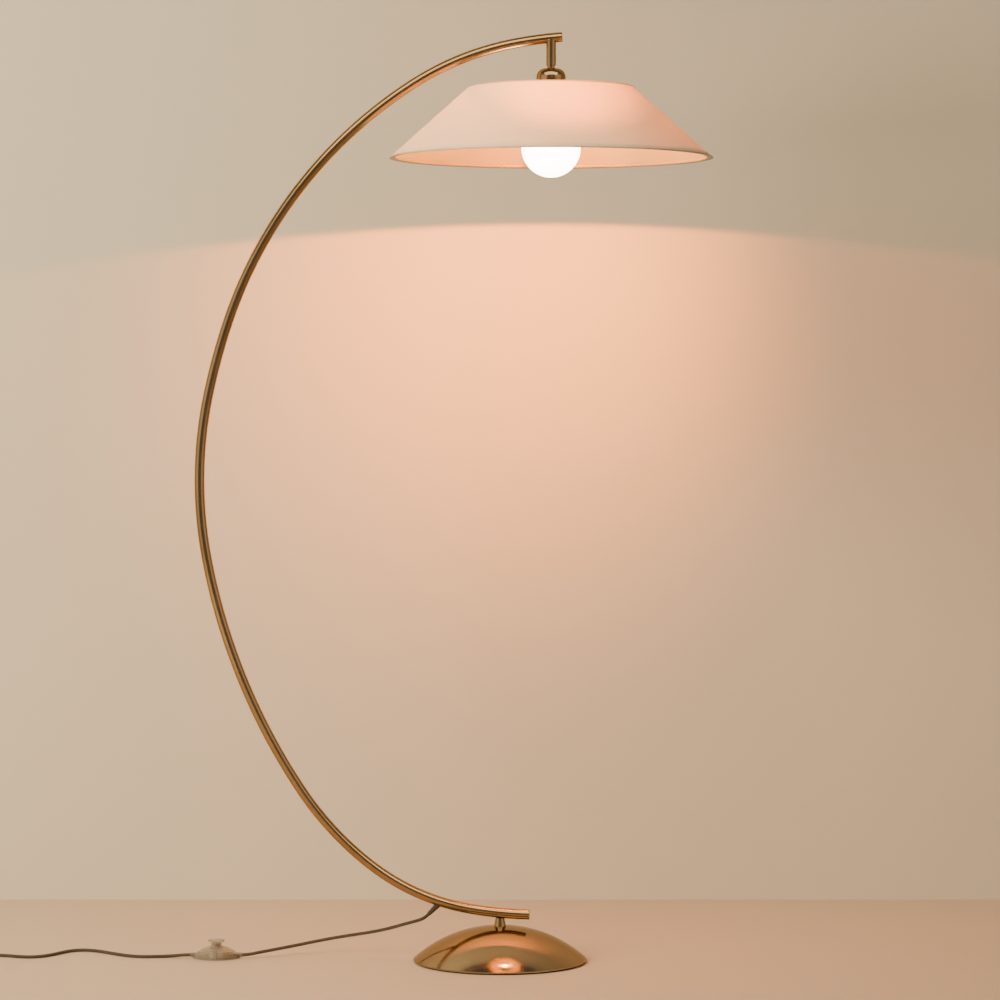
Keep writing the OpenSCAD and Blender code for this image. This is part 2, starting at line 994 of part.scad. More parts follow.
// From the switch along the floor to the coil
coil_route = [[-489, 28, 6], [-503, 28, 6], [-515, 29.5, 5.4], [-530, 32, 3.8], [-546, 33, 2.8],
    [-562, 31, rest], [-579, 30, rest], [-598, 35, rest], [-616, 47, rest], [-633, 62, rest],
    [-651, 79, rest], [-669, 92, rest], [-688, 97, rest], [-705, 89, rest], [-718, 71, rest],
    [-731, 50, rest], [-745, 34, rest], [-762, 27, rest], [-781, 30, rest], [-799, 38, rest],
    [-816, 43.5, rest], [-833, 46, rest], [-852, 47, rest], [-876.5, 47, 3.7]];

// From the coil's top turn down to the plug
plug_route = [[-917, 87.5, 9.1], [-917, 96, 8.7], [-916.5, 105, 7.8], [-916, 113, 7.1],
    [-916, 122, plug_h / 2]];

// A point between b and c on a smooth curve through a, b, c and d
function smooth(a, b, c, d, t) = 0.5 * (2 * b + (c - a) * t
    + (2 * a - 5 * b + 4 * c - d) * t * t + (3 * b - a - 3 * c + d) * t * t * t);

// The route with "steps" points for each of its stretches
function smoothed(p, steps) = let (last = len(p) - 1) concat(
    [for (i = [0 : last - 1])
        for (s = [0 : steps - 1])
            smooth(p[max(i - 1, 0)], p[i], p[i + 1], p[min(i + 2, last)], s / steps)],
    [p[last]]);

function unit(v) = v / norm(v);

// A round tube of radius r along a list of points
module swept_tube(path, r, sides) {
    last = len(path) - 1;
    points = [for (i = [0 : last])
        let (along = unit(path[min(i + 1, last)] - path[max(i - 1, 0)]),
            across = unit(cross(along, [0, 0, 1])),
            over = cross(across, along))
        for (k = [0 : sides - 1])
            let (a = 360 * k / sides)
            path[i] + r * (cos(a) * across + sin(a) * over)];
    walls = [for (i = [0 : last - 1])
        for (k = [0 : sides - 1])
            let (a = i * sides + k, b = i * sides + (k + 1) % sides)
            [a, a + sides, b + sides, b]];
    ends = [[for (k = [0 : sides - 1]) k],
        [for (k = [0 : sides - 1]) last * sides + sides - 1 - k]];
    polyhedron(points = points, faces = concat(walls, ends));
}

module cord_to_switch() {
    color(flex_brown)
        swept_tube(smoothed(switch_route, 2), cord_d / 2, 10);
}

module cord_to_coil() {
    color(flex_brown)
        swept_tube(coil_route, cord_d / 2, 10);
}

module cord_coil() {
    color(flex_brown)
        translate([coil_x, coil_y, tie_t])
            rotate_extrude($fn = 96)
                translate([coil_r - coil_w / 2, 0])
                    square([coil_w, coil_h]);
}

module cord_tie() {
    tie_w = 9;
    slot_w = coil_w + 1.4;
    color(black_rubber)
        translate([coil_x, coil_y, 0])
            rotate([0, 0, tie_angle])
                translate([coil_r - slot_w / 2, -tie_w / 2, 0])
                    difference() {
                        translate([-tie_t, 0, 0])
                            cube([slot_w + 2 * tie_t, tie_w, coil_h + 2 * tie_t + 0.2]);
                        translate([0, -1, tie_t])
                            cube([slot_w, tie_w + 2, coil_h + 0.2]);
                    }
}

module cord_to_plug() {
    color(flex_brown)
        swept_tube(plug_route, cord_d / 2, 10);
}

pin_d = 4;
pin_root_d = 3.6;     // inside the plug and just in front of it
pin_l = 19;
pin_bare = 0.5;       // how far the thin root shows
pin_tip = 1;
pin_pitch = 18.6;
pin_in = 8;           // how deep the pins sit in the plug

module plug_body() {
    back = plug_y - plug_l;
    color(black_rubber)
        difference() {
            union() {
                translate([plug_x, 0, 0])
                    linear_extrude(plug_h)
                        polygon([[-12, plug_y], [12, plug_y], [17.5, plug_y - 7],
                            [17.5, plug_y - 13], [8, back], [-8, back],
                            [-17.5, plug_y - 13], [-17.5, plug_y - 7]]);
                translate([plug_x, back - grip_l, plug_h / 2])
                    rotate([-90, 0, 0])
                        cylinder(d1 = 7.4, d2 = 11, h = grip_l + 1, $fn = 48);
            }
            translate([plug_x, back - grip_l - 1, plug_h / 2])
                rotate([-90, 0, 0])
                    cylinder(d = cord_d, h = grip_l + 6, $fn = 48);
            for (side = [-1, 1])
                translate([plug_x + side * pin_pitch / 2, plug_y - pin_in, plug_h / 2])
                    rotate([-90, 0, 0])
                        cylinder(d = pin_root_d + slack, h = pin_in + 1, $fn = 48);
        }
}

module plug_pins() {
    color(steel)
        for (side = [-1, 1])
            translate([plug_x + side * pin_pitch / 2, plug_y, plug_h / 2])
                rotate([-90, 0, 0])
                    union() {
                        translate([0, 0, -pin_in])
                            cylinder(d = pin_root_d, h = pin_in + pin_bare + 0.5, $fn = 48);
                        translate([0, 0, pin_bare])
                            cylinder(d = pin_d, h = pin_l - pin_tip - pin_bare, $fn = 48);
                        translate([0, 0, pin_l - pin_tip])
                            cylinder(d1 = pin_d, d2 = pin_d - 1.4, h = pin_tip, $fn = 48);
                    }
}

base_pad();
base_cover();
base_weight();
base_spacer();
base_stud();
base_washer();
base_nut();
base_post();
lower_tube();
middle_tube();
upper_tube();
lower_sleeve();
upper_sleeve();
joint_screws();
lower_end_cap();
upper_end_cap();
drop_rod();
strain_relief();
inner_lead();
neck_collar();
neck_nipple();
holder_lock_nut();
holder_cup();
holder_body();
terminal_blocks();
terminal_screws();
core_wires();
centre_contact();
screw_shell();
holder_skirt();
shade_ring();
shade_fabric();
shade_liner();
shade_top_wire();
shade_bottom_wire();
shade_spider();
shade_top_hem();
shade_bottom_hem();
bulb_globe();
bulb_cap();
bulb_insulator();
bulb_contact();
bulb_light_engine();
switch_base();
switch_cover();
switch_button();
switch_spring();
switch_mechanism();
switch_terminals();
switch_wires();
switch_glands();
switch_screws();
cord_to_switch();
cord_to_coil();
cord_coil();
cord_tie();
cord_to_plug();
plug_body();
plug_pins();
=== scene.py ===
"""Looks for the arc floor lamp: brass arm and base, linen shade, lit globe, clear foot switch.

Everything is in metres, in the CAD model's frame: +Z up, origin on the floor under the base,
the arm in the XZ plane. The camera and the cords come first.
"""
import math

import bmesh
import bpy
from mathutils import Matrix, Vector, noise


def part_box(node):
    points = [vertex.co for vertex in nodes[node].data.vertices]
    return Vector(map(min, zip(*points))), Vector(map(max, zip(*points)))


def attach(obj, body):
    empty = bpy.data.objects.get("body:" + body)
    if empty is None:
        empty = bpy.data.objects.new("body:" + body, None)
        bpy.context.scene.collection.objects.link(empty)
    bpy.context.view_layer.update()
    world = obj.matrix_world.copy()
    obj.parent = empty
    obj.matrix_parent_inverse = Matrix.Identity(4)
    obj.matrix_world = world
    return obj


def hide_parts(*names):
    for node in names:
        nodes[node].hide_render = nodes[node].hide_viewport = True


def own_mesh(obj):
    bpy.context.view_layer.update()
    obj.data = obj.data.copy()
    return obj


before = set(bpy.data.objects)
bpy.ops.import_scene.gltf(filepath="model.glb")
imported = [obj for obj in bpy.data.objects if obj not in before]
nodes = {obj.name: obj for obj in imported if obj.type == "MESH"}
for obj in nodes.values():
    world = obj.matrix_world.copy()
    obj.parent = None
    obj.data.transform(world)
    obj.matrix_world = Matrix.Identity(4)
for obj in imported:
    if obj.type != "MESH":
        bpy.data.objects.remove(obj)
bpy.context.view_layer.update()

TAU = 2 * math.pi
HEAD_X = 0.082             # the shade's axis
BULB = (HEAD_X, 0, 1.338)  # where the bulb's light starts
SOURCE_R = 0.004           # small, so that the shade's edge throws a fairly sharp shadow
CORD_R = 0.0027            # half the lead's thickness
FLOOR_REST = CORD_R        # height of the lead's centre where it lies on the floor


# ---- Small tools ------------------------------------------------------------------------

def link(obj):
    bpy.context.scene.collection.objects.link(obj)
    return obj


def mesh_piece(name, verts, faces, smooth=True, uv=None):
    """A mesh object from points and faces; uv gives a pair for each point."""
    mesh = bpy.data.meshes.new(name)
    mesh.from_pydata([tuple(v) for v in verts], [], faces)
    mesh.validate()
    if uv is not None:
        layer = mesh.uv_layers.new(name="cloth")
        for loop in mesh.loops:
            layer.data[loop.index].uv = uv[loop.vertex_index]
    if smooth:
        mesh.polygons.foreach_set("use_smooth", [True] * len(mesh.polygons))
    mesh.update()
    return link(bpy.data.objects.new(name, mesh))


def grid_faces(rows, columns, closed=True):
    """Faces of a grid of points, row after row; closed joins the last column to the first."""
    faces = []
    for i in range(rows - 1):
        for j in range(columns if closed else columns - 1):
            k = (j + 1) % columns
            faces.append((i * columns + j, i * columns + k,
                          (i + 1) * columns + k, (i + 1) * columns + j))
    return faces


def merge_and_orient(piece):
    """Joins points in the same place and turns every face outwards."""
    bm = bmesh.new()
    bm.from_mesh(piece.data)
    bmesh.ops.remove_doubles(bm, verts=bm.verts, dist=1e-6)
    bmesh.ops.recalc_face_normals(bm, faces=bm.faces)
    bm.to_mesh(piece.data)
    bm.free()


def arc_points(centre, radius, start, end, count):
    """Points of an arc in a profile, angles in degrees."""
    out = []
    for i in range(count):
        a = math.radians(start + (end - start) * i / (count - 1))
        out.append((centre[0] + radius * math.cos(a), centre[1] + radius * math.sin(a)))
    return out


def curve_piece(name, points, radius):
    """A round cord on one open smooth spline through the points."""
    data = bpy.data.curves.new(name, "CURVE")
    data.dimensions = "3D"
    data.bevel_depth = radius
    data.bevel_resolution = 5
    data.resolution_u = 8
    data.use_fill_caps = True
    spline = data.splines.new("BEZIER")
    spline.bezier_points.add(len(points) - 1)
    for spot, p in zip(spline.bezier_points, points):
        spot.co = p
        spot.handle_left_type = "AUTO"
        spot.handle_right_type = "AUTO"
    return link(bpy.data.objects.new(name, data))


# ---- Materials --------------------------------------------------------------------------

class Shader:
    """A node material that is built one node at a time."""

    def __init__(self, name):
        self.material = bpy.data.materials.new(name)
        self.material.use_nodes = True
        self.tree = self.material.node_tree
        self.tree.nodes.clear()
        self.output = self.tree.nodes.new("ShaderNodeOutputMaterial")

    def node(self, kind, sockets=None, **settings):
        made = self.tree.nodes.new("ShaderNode" + kind)
        for key, value in settings.items():
            setattr(made, key, value)
        for key, value in (sockets or {}).items():
            socket = made.inputs[key]
            if isinstance(value, bpy.types.NodeSocket):
                self.tree.links.new(value, socket)
            else:
                socket.default_value = value
        return made

    def place(self, scale=(1, 1, 1), uv=False):
        """Object coordinates (or the cloth's own) in metres, stretched by scale."""
        if uv:
            source = self.node("UVMap", uv_map="cloth").outputs["UV"]
        else:
            source = self.node("TexCoord").outputs["Object"]
        return self.node("Mapping", {"Vector": source, "Scale": scale}).outputs["Vector"]

    def noise(self, scale, stretch=(1, 1, 1), detail=3.0, rough=0.55, uv=False):
        return self.node("TexNoise", {"Vector": self.place(stretch, uv), "Scale": scale,
                                      "Detail": detail, "Roughness": rough}).outputs["Fac"]

    def wave(self, scale, direction):
        """Straight bands along the cloth's own coordinates."""
        return self.node("TexWave", {"Vector": self.place(uv=True), "Scale": scale},
                         bands_direction=direction).outputs["Fac"]

    def ramp(self, fac, stops):
        """Colours along a factor; stops is a list of (position, colour)."""
        made = self.node("ValToRGB", {"Fac": fac})
        elements = made.color_ramp.elements
        while len(elements) < len(stops):
            elements.new(0.5)
        for element, (position, colour) in zip(elements, stops):
            element.position = position
            element.color = (*colour, 1)
        return made.outputs["Color"]

    def level(self, fac, low, high, start=0.0, end=1.0):
        """Spreads a factor between two values."""
        return self.node("MapRange", {"Value": fac, "From Min": start, "From Max": end,
                                      "To Min": low, "To Max": high}).outputs["Result"]

    def math(self, operation, a, b):
        return self.node("Math", {0: a, 1: b}, operation=operation).outputs[0]

    def mix(self, fac, a, b):
        return self.node("Mix", {0: fac, 6: a, 7: b}, data_type="RGBA").outputs[2]

    def bump(self, height, distance, strength):
        return self.node("Bump", {"Height": height, "Distance": distance,
                                  "Strength": strength}).outputs["Normal"]

    def principled(self, sockets):
        return self.node("BsdfPrincipled", sockets).outputs["BSDF"]

    def done(self, surface):
        self.tree.links.new(surface, self.output.inputs["Surface"])
        return self.material


def rgb(r, g, b):
    return (r, g, b, 1)


def brass_material(name="brass", spun=False):
    """Polished, lacquered brass with smudges and a little tarnish. Spun metal also has fine
    rings that were left by the tool, so that a light draws out into a line across them."""
    s = Shader(name)
    cloud = s.noise(9, detail=4)
    if spun:
        dark, light, edge = (0.310, 0.236, 0.150), (0.360, 0.280, 0.185), rgb(0.70, 0.62, 0.50)
        smooth, dull = 0.07, 0.13
    else:
        dark, light, edge = (0.340, 0.225, 0.115), (0.400, 0.270, 0.145), rgb(0.52, 0.36, 0.20)
        smooth, dull = 0.15, 0.24
    smudge = s.noise(55, detail=5, rough=0.65)
    grain = s.noise(900, detail=2)
    colour = s.ramp(cloud, [(0.30, dark), (0.70, light)])
    spots = s.level(s.noise(230, detail=2), 0.0, 1.0, 0.66, 0.78)
    colour = s.mix(s.math("MULTIPLY", spots, 0.3), colour, rgb(0.21, 0.145, 0.08))
    rough = s.math("ADD", s.level(smudge, smooth, dull, 0.3, 0.7),
                   s.math("MULTIPLY", grain, 0.03))
    sockets = {"Base Color": colour, "Metallic": 1.0, "Roughness": rough,
               "Specular Tint": edge, "Normal": s.bump(grain, 0.00001, 0.4)}
    if spun:
        flat = s.node("VectorMath", {0: s.place((1, 1, 0))}, operation="LENGTH").outputs["Value"]
        rings = s.node("TexNoise", {"Vector": s.node("CombineXYZ", {"X": flat}).outputs[0],
                                    "Scale": 1400, "Detail": 3.0}).outputs["Fac"]
        sockets["Normal"] = s.bump(rings, 0.000012, 0.5)
        sockets["Anisotropic"] = 0.7
        sockets["Tangent"] = s.node("Tangent", direction_type="RADIAL", axis="Z").outputs[0]
    return s.done(s.principled(sockets))


def plain_metal(name, colour, roughness):
    s = Shader(name)
    grain = s.noise(700, (1, 1, 0.1), detail=3)
    dark = tuple(0.7 * c for c in colour)
    tone = s.ramp(s.noise(120, detail=4), [(0.25, dark), (0.75, colour)])
    return s.done(s.principled({
        "Base Color": tone, "Metallic": 1.0,
        "Roughness": s.level(grain, roughness - 0.08, roughness + 0.1, 0.3, 0.7),
        "Normal": s.bump(grain, 0.00003, 0.5)}))


def plastic(name, colour, roughness, speckle, grain=1500):
    """Moulded plastic, rubber or ceramic: slight colour changes and a fine moulded grain."""
    s = Shader(name)
    dark = tuple((1 - speckle) * c for c in colour)
    tone = s.ramp(s.noise(90, detail=4), [(0.3, dark), (0.7, colour)])
    skin = s.noise(grain, detail=2)
    return s.done(s.principled({
        "Base Color": tone,
        "Roughness": s.level(s.noise(160, detail=3), roughness - 0.06, roughness + 0.08,
                             0.3, 0.7),
        "Normal": s.bump(skin, 0.00004, 0.6)}))


def cast_iron():
    s = Shader("cast_iron")
    pits = s.noise(420, detail=6, rough=0.7)
    tone = s.ramp(s.noise(60), [(0.3, (0.05, 0.045, 0.04)), (0.7, (0.12, 0.11, 0.10))])
    return s.done(s.principled({"Base Color": tone, "Metallic": 0.7, "Roughness": 0.65,
                                "Normal": s.bump(pits, 0.0004, 0.8)}))


THREAD_PITCH = 0.0009


def woven_height(s):
    """Height of a plain weave: two sets of threads that cross each other."""
    thread = 0.5 / THREAD_PITCH / 3.0
    across = s.wave(thread, "X")
    along = s.wave(thread, "Y")
    return s.math("ADD", s.math("MULTIPLY", across, along),
                  s.math("MULTIPLY", s.math("ADD", across, along), 0.35))


def linen_material(name="linen", through=0.36, shade_tone=1.0):
    """Off-white woven cloth with uneven threads. through is the share of the light that passes
    through it, warmer, and shade_tone below 1 darkens it."""
    s = Shader(name)
    slub = s.noise(30, (1.0, 26.0, 1), detail=4, rough=0.6, uv=True)
    upright = s.noise(30, (30.0, 1.4, 1), detail=3, rough=0.6, uv=True)
    mottle = s.noise(14, detail=3)
    weave = woven_height(s)
    tone = s.ramp(slub, [(0.34, (0.86, 0.76, 0.63)), (0.52, (0.93, 0.84, 0.72)),
                         (0.70, (0.96, 0.89, 0.78))])
    tone = s.mix(s.level(upright, 0.0, 0.20, 0.45, 0.75), tone, rgb(0.80, 0.70, 0.60))
    # Darker where the weave is low, between the threads: painted shade in the gaps.
    tone = s.mix(s.level(weave, 0.16, 0.0), tone, rgb(0.66, 0.56, 0.46))
    tone = s.mix(s.level(mottle, 0.0, 0.10, 0.4, 0.7), tone, rgb(0.86, 0.76, 0.65))
    tone = s.mix(1 - shade_tone, tone, rgb(0.30, 0.22, 0.17))
    height = s.math("ADD", weave, s.math("MULTIPLY", slub, 1.6))
    normal = s.bump(height, 0.00022, 0.75)
    cloth = s.principled({"Base Color": tone, "Roughness": 0.88, "Sheen Weight": 0.25,
                          "Sheen Roughness": 0.5, "Specular IOR Level": 0.2,
                          "Normal": normal})
    glow_tone = s.mix(s.level(slub, 0.35, 0.0, 0.35, 0.7), rgb(0.96, 0.68, 0.34),
                      rgb(0.74, 0.45, 0.18))
    glow = s.node("BsdfTranslucent", {"Color": glow_tone, "Normal": normal}).outputs[0]
    return s.done(s.node("MixShader", {0: through, 1: cloth, 2: glow}).outputs[0])


def lining_material():
    """Thin laminated sheet behind the cloth, smooth and slightly glossy."""
    s = Shader("lining")
    wavy = s.noise(22, (1, 5, 1), detail=3, uv=True)
    weave = woven_height(s)
    tone = s.ramp(wavy, [(0.3, (0.82, 0.68, 0.52)), (0.7, (0.88, 0.76, 0.61))])
    normal = s.bump(s.math("ADD", wavy, s.math("MULTIPLY", weave, 0.3)), 0.0002, 0.4)
    sheet = s.principled({"Base Color": tone, "Roughness": 0.55, "Normal": normal})
    glow = s.node("BsdfTranslucent", {"Color": rgb(0.94, 0.80, 0.58),
                                      "Normal": normal}).outputs[0]
    return s.done(s.node("MixShader", {0: 0.45, 1: sheet, 2: glow}).outputs[0])


GLOBE_GLOW = 16.0          # emission at the middle of the globe


def globe_material():
    """Lit opal glass: nearly even, a little dimmer towards the edge and the neck."""
    s = Shader("opal_globe")
    haze = s.noise(40, detail=3)
    edge = s.node("LayerWeight", {"Blend": 0.35}).outputs["Facing"]
    strength = s.math("MULTIPLY", s.level(edge, GLOBE_GLOW, GLOBE_GLOW * 0.72),
                      s.level(haze, 0.96, 1.04, 0.3, 0.7))
    tone = s.mix(edge, rgb(1.0, 0.93, 0.82), rgb(1.0, 0.86, 0.68))
    return s.done(s.principled({
        "Base Color": rgb(0.93, 0.91, 0.86), "Roughness": s.level(haze, 0.16, 0.26),
        "Emission Color": tone, "Emission Strength": strength}))


def clear_material():
    """Clear moulded plastic, seen through, with a fine moulded grain and a faint haze."""
    s = Shader("clear_plastic")
    flow = s.noise(60, (1, 3, 1), detail=3)
    grain = s.noise(800, detail=2)
    tone = s.ramp(flow, [(0.3, (0.62, 0.53, 0.45)), (0.7, (0.78, 0.69, 0.60))])
    normal = s.bump(s.math("ADD", flow, s.math("MULTIPLY", grain, 0.3)), 0.0002, 0.35)
    return s.done(s.principled({
        "Base Color": tone, "Roughness": s.level(flow, 0.16, 0.28), "IOR": 1.46,
        "Transmission Weight": 0.82, "Normal": normal}))


def cord_material():
    """The lead's PVC sheath: dark grey-brown, satin, with the twist of the cores under it."""
    s = Shader("cord_sheath")
    twist = s.noise(180, detail=3)
    tone = s.ramp(s.noise(25, detail=3), [(0.3, (0.042, 0.030, 0.023)),
                                          (0.7, (0.068, 0.050, 0.038))])
    return s.done(s.principled({
        "Base Color": tone, "Roughness": s.level(twist, 0.42, 0.56, 0.3, 0.7),
        "Normal": s.bump(twist, 0.0003, 0.35)}))


def painted(name, colour, fleck, roughness):
    """Wall or floor of the room. It has no back, so that the lamp shows from behind too."""
    s = Shader(name)
    tone = s.mix(s.level(s.noise(2.2, detail=5), 0.0, 0.5, 0.35, 0.7), (*colour, 1),
                 (*fleck, 1))
    front = s.principled({
        "Base Color": tone, "Roughness": roughness, "Specular IOR Level": 0.3,
        "Normal": s.bump(s.noise(260, detail=4), 0.0003, 0.4)})
    return s.done(s.node("MixShader", {
        0: s.node("NewGeometry").outputs["Backfacing"], 1: front,
        2: s.node("BsdfTransparent").outputs[0]}).outputs[0])


BRASS = brass_material()
SPUN_BRASS = brass_material("spun_brass", spun=True)
DULL_BRASS = plain_metal("contact_brass", (0.66, 0.47, 0.22), 0.36)
STEEL = plain_metal("zinc_steel", (0.60, 0.60, 0.62), 0.34)
PLATED = plain_metal("nickel_plate", (0.74, 0.72, 0.69), 0.22)
WIRE = plain_metal("wire", (0.62, 0.58, 0.52), 0.42)
IRON = cast_iron()
CERAMIC = plastic("ceramic", (0.80, 0.76, 0.68), 0.55, 0.10, 700)
BLACK = plastic("black_plastic", (0.028, 0.026, 0.025), 0.38, 0.2)
PAD = plastic("pad_rubber", (0.05, 0.042, 0.036), 0.8, 0.3, 900)
WHITE = plastic("white_plastic", (0.80, 0.78, 0.73), 0.42, 0.08)
CLEAR = clear_material()
CORD = cord_material()
LINEN = linen_material()
# Tape for the hems: the same cloth, darkened towards brown, letting little light through.
HEM = linen_material("hem_tape", 0.04, 0.22)
LINING = lining_material()
GLOBE = globe_material()


def finish_with(material, *names):
    """Gives CAD nodes a material."""
    for name in names:
        node = nodes[name]
        node.data.materials.clear()
        node.data.materials.append(material)


def give(piece, material, slot, body, *stands_for):
    piece.data.materials.append(material)
    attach(piece, body)
    if stands_for:
        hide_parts(*stands_for)
    return piece


# ---- Camera -----------------------------------------------------------------------------

def add_camera():
    lens = bpy.data.cameras.new("camera")
    lens.sensor_width = 36
    lens.lens = 126.67
    lens.clip_end = 60
    camera = link(bpy.data.objects.new("camera", lens))
    camera.location = (0, -5.665, 0.9206)
    camera.rotation_euler = (math.radians(90 - 1.763), 0, 0)
    bpy.context.scene.camera = camera


# ---- Lead -------------------------------------------------------------------------------
# The same points as part.scad, in metres.

TO_SWITCH = [
    (-0.1154, 0, 0.0767), (-0.1193, 0.0002, 0.073), (-0.1244, 0.0016, 0.0694),
    (-0.1316, 0.006, 0.0659), (-0.1414, 0.013, 0.062), (-0.155, 0.0232, 0.0569),
    (-0.171, 0.035, 0.0506), (-0.189, 0.0468, 0.0444), (-0.209, 0.0575, 0.0388),
    (-0.230, 0.066, 0.0342), (-0.252, 0.0715, 0.030), (-0.275, 0.0735, 0.0259),
    (-0.299, 0.0712, 0.0217), (-0.323, 0.0645, 0.0178), (-0.347, 0.055, 0.0144),
    (-0.370, 0.0447, 0.0115), (-0.391, 0.0354, 0.0089), (-0.406, 0.0299, 0.0069),
    (-0.419, 0.028, 0.006), (-0.433, 0.028, 0.006)]

TO_COIL = [
    (-0.489, 0.028, 0.006), (-0.503, 0.028, 0.006), (-0.515, 0.0295, 0.0054),
    (-0.530, 0.032, 0.0038), (-0.546, 0.033, 0.0028), (-0.562, 0.031, FLOOR_REST),
    (-0.579, 0.030, FLOOR_REST), (-0.598, 0.035, FLOOR_REST), (-0.616, 0.047, FLOOR_REST),
    (-0.633, 0.062, FLOOR_REST), (-0.651, 0.079, FLOOR_REST), (-0.669, 0.092, FLOOR_REST),
    (-0.688, 0.097, FLOOR_REST), (-0.705, 0.089, FLOOR_REST), (-0.718, 0.071, FLOOR_REST),
    (-0.731, 0.050, FLOOR_REST), (-0.745, 0.034, FLOOR_REST), (-0.762, 0.027, FLOOR_REST),
    (-0.781, 0.030, FLOOR_REST), (-0.799, 0.038, FLOOR_REST), (-0.816, 0.0435, FLOOR_REST),
    (-0.833, 0.046, FLOOR_REST), (-0.852, 0.047, FLOOR_REST), (-0.8765, 0.047, 0.0037)]

PLUG_X, PLUG_FACE_Y, PLUG_H = -0.916, 0.178, 0.0137
TO_PLUG = [
    (-0.917, 0.0875, 0.0091), (-0.917, 0.096, 0.0087), (-0.9165, 0.105, 0.0078),
    (-0.916, 0.113, 0.0071), (-0.916, 0.122, PLUG_H / 2)]

COIL_X, COIL_Y = -0.8765, 0.0875
COIL_OUTER = 0.0405                 # radius of the outermost turn
COIL_LOW = FLOOR_REST + 0.001       # centre of the bottom turns where they cross the tie
COLUMNS = 4
COIL_TURNS = 6.25
TIE_AT = math.radians(-120)
TIE_REACH = 0.03                    # how far to each side the strap lifts the turns


def eased(value, start, end):
    """0 before start, 1 after end, with a smooth change between them."""
    part = min(max((value - start) / (end - start), 0), 1)
    return (1 - math.cos(math.pi * part)) / 2


def coil_points():
    """Turns inwards on the floor, then outwards on top of them, a lead's width apart."""
    steps = 24                          # points in each turn
    step_over = 2 * CORD_R
    points = []
    for i in range(1, int(COIL_TURNS * steps)):
        turn = i / steps
        inwards = sum(eased(turn, k + 0.14, k + 0.57) for k in range(COLUMNS - 1))
        outwards = sum(eased(turn, k + 0.52, k + 0.95)
                       for k in range(COLUMNS - 1, 2 * COLUMNS - 2))
        r = COIL_OUTER - step_over * (inwards - outwards)
        a = -TAU / 4 - TAU * turn
        from_tie = math.remainder(a - TIE_AT, TAU) * r
        lift = (COIL_LOW - FLOOR_REST) * math.exp(-(from_tie / TIE_REACH) ** 2)
        z = FLOOR_REST + lift + step_over * eased(turn, 2.87, 3.12)
        points.append((COIL_X + r * math.cos(a), COIL_Y + r * math.sin(a), z))
    return points


def add_cords():
    spring = add_spring()
    first = curve_piece("lead_to_switch", TO_SWITCH, CORD_R)
    give(first, CORD, "flex", "stand", "cord_to_switch")

    points = TO_COIL + coil_points() + TO_PLUG
    second = curve_piece("lead_to_plug", points, CORD_R)
    give(second, CORD, "flex", "stand", "cord_to_coil", "cord_coil", "cord_to_plug")
    tie = add_tie()
    plug = add_plug()


def add_spring():
    """The foot switch's spring, which shortens as the button goes down."""
    low, high = (Vector(corner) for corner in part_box("switch_spring"))
    centre = (low + high) / 2
    wire = 0.00045
    mean_r = (high.x - low.x) / 2 - wire
    turns, steps, sides = 6, 28, 8
    rows = turns * steps + 1
    verts = []
    for i in range(rows):
        a = TAU * i / steps
        z = low.z + wire + (high.z - low.z - 2 * wire) * i / (rows - 1)
        for k in range(sides):
            b = TAU * k / sides
            r = mean_r + wire * math.cos(b)
            verts.append((centre.x + r * math.cos(a), centre.y + r * math.sin(a),
                          z + wire * math.sin(b)))
    faces = grid_faces(rows, sides)
    faces += [tuple(range(sides)), tuple(range((rows - 1) * sides, rows * sides))]
    spring = mesh_piece("switch_coil_spring", verts, faces)
    merge_and_orient(spring)
    give(spring, STEEL, "steel", "stand", "switch_spring")
    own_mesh(spring)
    return spring


def add_tie():
    """A soft strap round the coil's turns, whose end laps over the top."""
    corner, half, thick = 0.0026, 0.0045, 0.0007
    clear = 0.0006                      # between the lead and the strap
    lap_l = 0.011                       # what the end laps over the top
    inner = COIL_OUTER - (COLUMNS - 1) * 2 * CORD_R - CORD_R - clear
    outer = COIL_OUTER + CORD_R + clear
    low, high = 0.0008, COIL_LOW + 3 * CORD_R + clear
    corners = [(outer, high, 0), (inner, high, 90), (inner, low, 180), (outer, low, 270)]
    path = []
    for lap, spots in ((0, corners), (1, corners[:2])):
        for r, z, start in spots:
            centre = (r - corner if start in (0, 270) else r + corner,
                      z - corner if start < 180 else z + corner)
            path += [(*spot, lap) for spot in
                     arc_points(centre, corner + lap * thick, start, start + 90, 7)]
    path[-7:] = [(path[-8][0] - lap_l, path[-8][1], 1)]
    verts = []
    for i, (r, z, lap) in enumerate(path):
        before, after = path[max(i - 1, 0)], path[min(i + 1, len(path) - 1)]
        out = Vector((after[1] - before[1], before[0] - after[0])).normalized()
        for side, t in ((-half, 0), (half, 0), (half, thick), (-half, thick)):
            rr, zz = r + out.x * t, max(z + out.y * t, 0.0001)
            verts.append((COIL_X + rr * math.cos(TIE_AT) - side * math.sin(TIE_AT),
                          COIL_Y + rr * math.sin(TIE_AT) + side * math.cos(TIE_AT), zz))
    faces = grid_faces(len(path), 4)
    faces += [(3, 2, 1, 0), tuple(range(4 * len(path) - 4, 4 * len(path)))]
    tie = mesh_piece("lead_tie", verts, faces, smooth=False)
    merge_and_orient(tie)
    bevel = tie.modifiers.new("edges", "BEVEL")
    bevel.width = 0.0002
    bevel.segments = 2
    bevel.limit_method = "ANGLE"
    return give(tie, BLACK, "black_plastic", "stand", "cord_tie")


